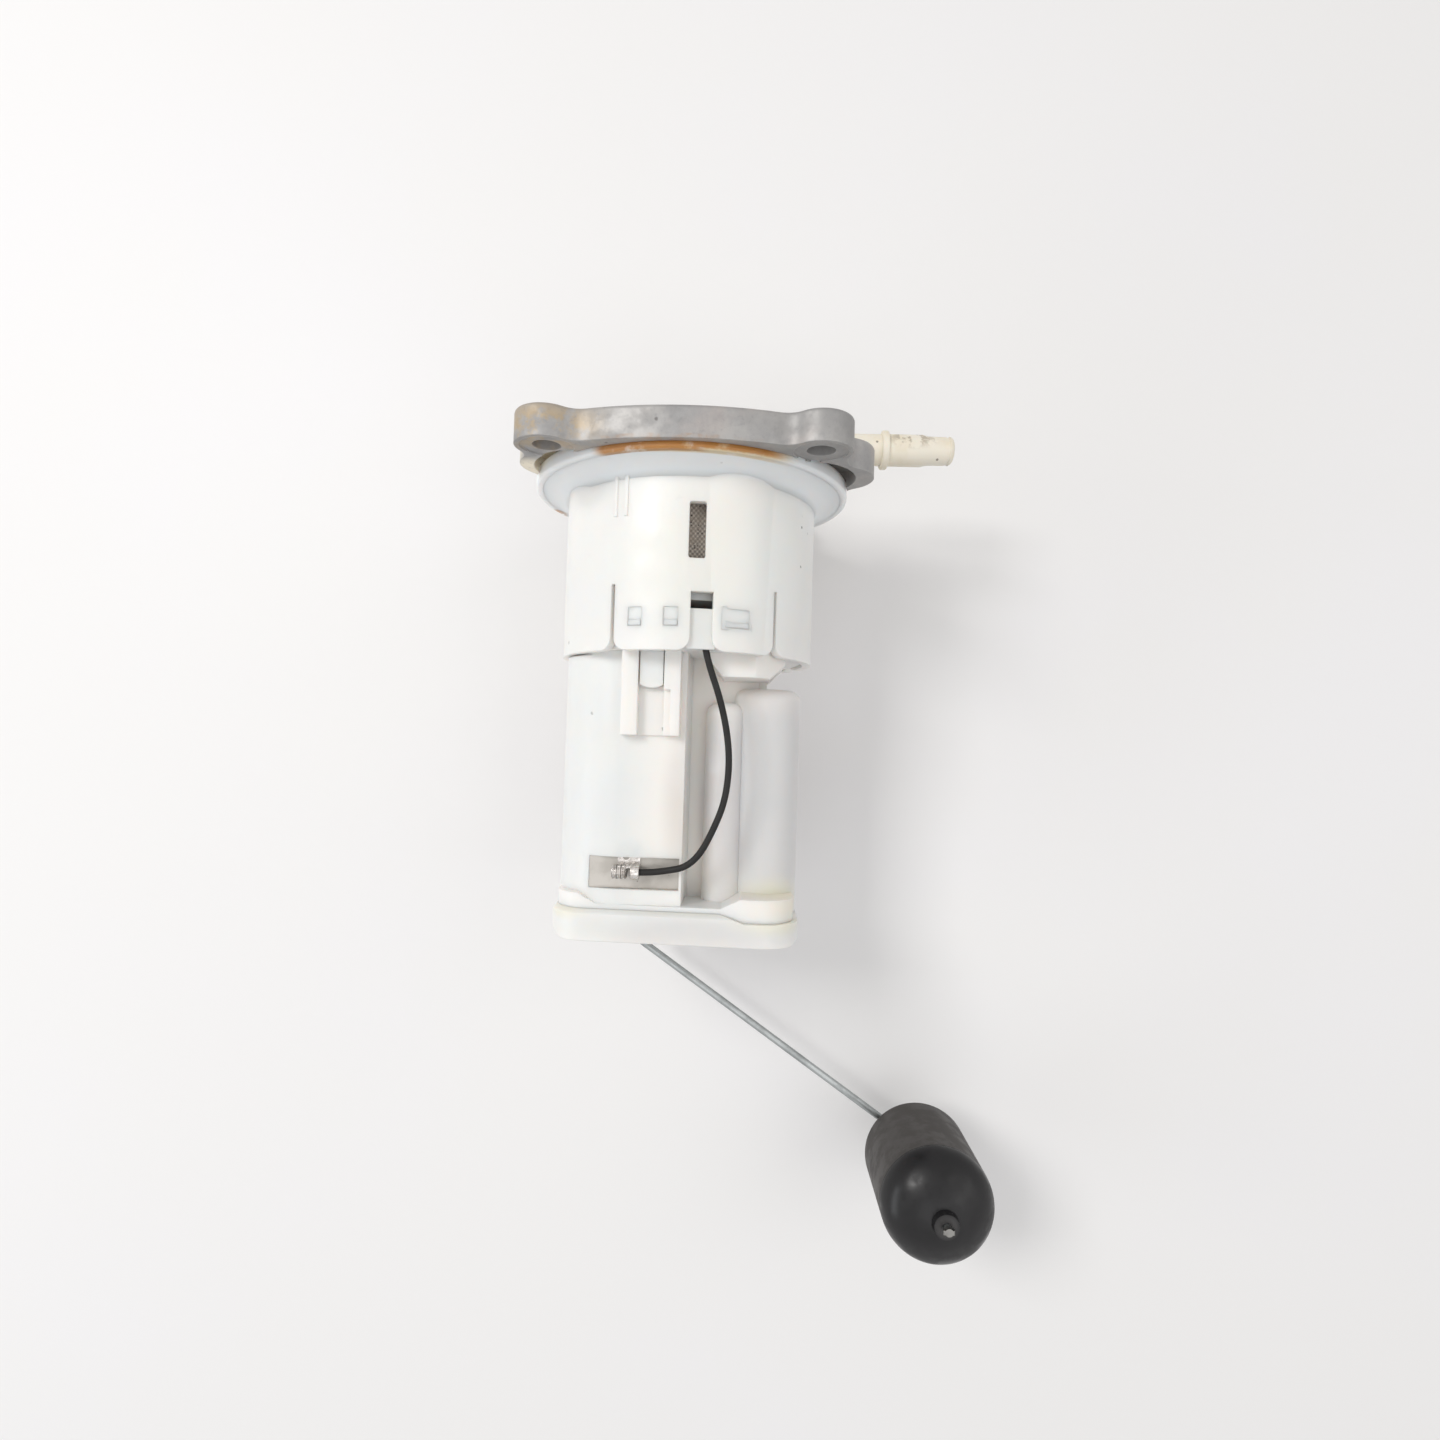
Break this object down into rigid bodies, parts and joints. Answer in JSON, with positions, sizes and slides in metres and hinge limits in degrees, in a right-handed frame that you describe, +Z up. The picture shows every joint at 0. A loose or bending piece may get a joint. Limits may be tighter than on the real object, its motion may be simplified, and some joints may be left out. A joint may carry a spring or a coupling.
{
  "type": "fuel pump module",
  "caption": "In-tank fuel pump module: bolted flange with a side outlet, slotted skirt, pump holder, strainer cover and a wire-armed float level sender.",
  "frame": {"origin": "centre of the flange disc's lower face, which seats on the tank", "axes": "+Z up, out of the tank; +X along the outlet spigot; -Y towards the guide rails, the level sender is on +Y"},
  "size_m": [0.135, 0.0971, 0.2361],
  "materials": {
    "ring_alloy": "die-cast, dull",
    "white_acetal": "moulded, satin",
    "ivory_nylon": "moulded, dull",
    "filter_fabric": "woven",
    "can_steel": "plated",
    "steel": "ground",
    "tinned_brass": "tinned",
    "copper": "enamelled",
    "carbon": "carbon",
    "ferrite": "fired",
    "pump_plastic": "moulded",
    "pump_alloy": "turned",
    "seal_rubber": "matt",
    "spring_steel": "bright",
    "ceramic": "fired",
    "zinc_wire": "zinc plated",
    "float_grey": "moulded",
    "float_black": "moulded, satin",
    "lead_black": "insulation"
  },
  "bodies": {
    "module": {"retaining_ring": "ring_alloy", "flange": "white_acetal", "outlet_joint": "ivory_nylon", "outlet_seal": "seal_rubber", "outlet_screws": "steel", "connector_terminals": "tinned_brass", "filter_element": "filter_fabric", "filter_seal": "seal_rubber", "filter_case": "white_acetal", "pump_holder": "white_acetal", "strainer_cover": "white_acetal", "suction_strainer": "filter_fabric", "pump_can": "can_steel", "pump_inlet_cover": "pump_alloy", "pump_casing": "pump_alloy", "shaft_bushes": "tinned_brass", "magnets": "ferrite", "brushes": "carbon", "brush_springs": "spring_steel", "pump_end_cap": "pump_plastic", "pump_seal": "seal_rubber", "check_spring": "spring_steel", "valve_stop": "pump_plastic", "regulator_body": "can_steel", "regulator_seal": "seal_rubber", "regulator_spring": "spring_steel", "regulator_clip": "spring_steel", "sensor_case": "white_acetal", "resistor_card": "ceramic", "sensor_terminals": "tinned_brass", "pivot_clip": "spring_steel", "ground_lead": "lead_black", "ground_plate": "can_steel", "ground_terminal": "tinned_brass", "lead_terminal": "tinned_brass"},
    "pump_rotor": {"impeller": "pump_plastic", "pump_shaft": "steel", "armature": "steel", "windings": "copper", "commutator": "copper"},
    "check_poppet": {"check_valve": "pump_plastic"},
    "regulator_plunger": {"regulator_valve": "steel"},
    "level_arm": {"arm_holder": "white_acetal", "contact_wiper": "spring_steel", "float_arm": "zinc_wire"},
    "float": {"float_body": "float_grey", "float_cap": "float_black"}
  },
  "joints": [
    {"name": "float_arm_swing", "type": "hinge", "parent": "module", "child": "level_arm", "pos_m": [-0.014, 0.033, -0.096], "axis": [0, -1, 0], "range_deg": [0, 80]},
    {"name": "float_spin", "type": "hinge", "parent": "level_arm", "child": "float", "pos_m": [0.075, 0.01, -0.1968], "axis": [0, 1, 0], "continuous": true},
    {"name": "pump_spin", "type": "hinge", "parent": "module", "child": "pump_rotor", "pos_m": [-0.015, -0.0065, -0.08], "axis": [0, 0, 1], "continuous": true},
    {"name": "check_valve_lift", "type": "slide", "parent": "module", "child": "check_poppet", "axis": [0, 0, 1], "range_m": [0, 0.0015], "stiffness_N_per_m": 40, "springref_m": -0.002, "deforming": ["check_spring"]},
    {"name": "regulator_lift", "type": "slide", "parent": "module", "child": "regulator_plunger", "axis": [0, 0, -1], "range_m": [0, 0.0008], "stiffness_N_per_m": 4000, "springref_m": -0.002, "deforming": ["regulator_spring"]}
  ]
}
